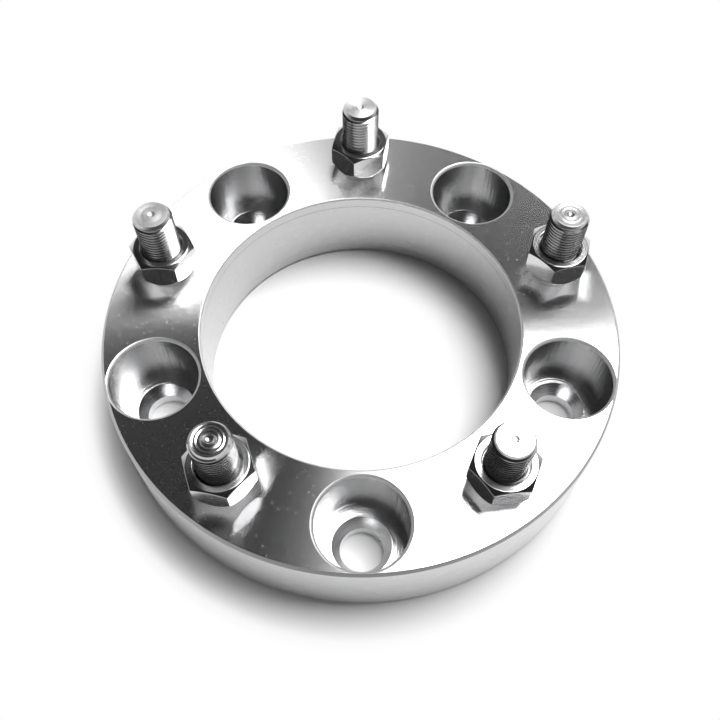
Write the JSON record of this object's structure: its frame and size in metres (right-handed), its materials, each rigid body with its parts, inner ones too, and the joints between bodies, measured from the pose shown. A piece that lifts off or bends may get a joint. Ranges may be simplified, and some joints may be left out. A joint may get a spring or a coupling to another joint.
{
  "type": "wheel spacer",
  "caption": "Thick turned aluminium wheel spacer ring with a wide centre bore, pocketed lug holes, press-in wheel studs and open cone-seat lug nuts.",
  "frame": {"origin": "centre of the back face, which bolts to the hub", "axes": "+Z along the bore axis towards the wheel, with one lug hole on -Y and one stud on +Y"},
  "size_m": [0.171, 0.171, 0.0583],
  "materials": {
    "turned_aluminium": "fine turned, glossy",
    "plated_steel": "bright plated"
  },
  "bodies": {
    "root": {"spacer_ring": "turned_aluminium", "wheel_stud_1": "plated_steel", "wheel_stud_2": "plated_steel", "wheel_stud_3": "plated_steel", "wheel_stud_4": "plated_steel", "wheel_stud_5": "plated_steel", "lug_nut_1": "plated_steel", "lug_nut_2": "plated_steel", "lug_nut_3": "plated_steel", "lug_nut_4": "plated_steel", "lug_nut_5": "plated_steel"}
  },
  "joints": []
}
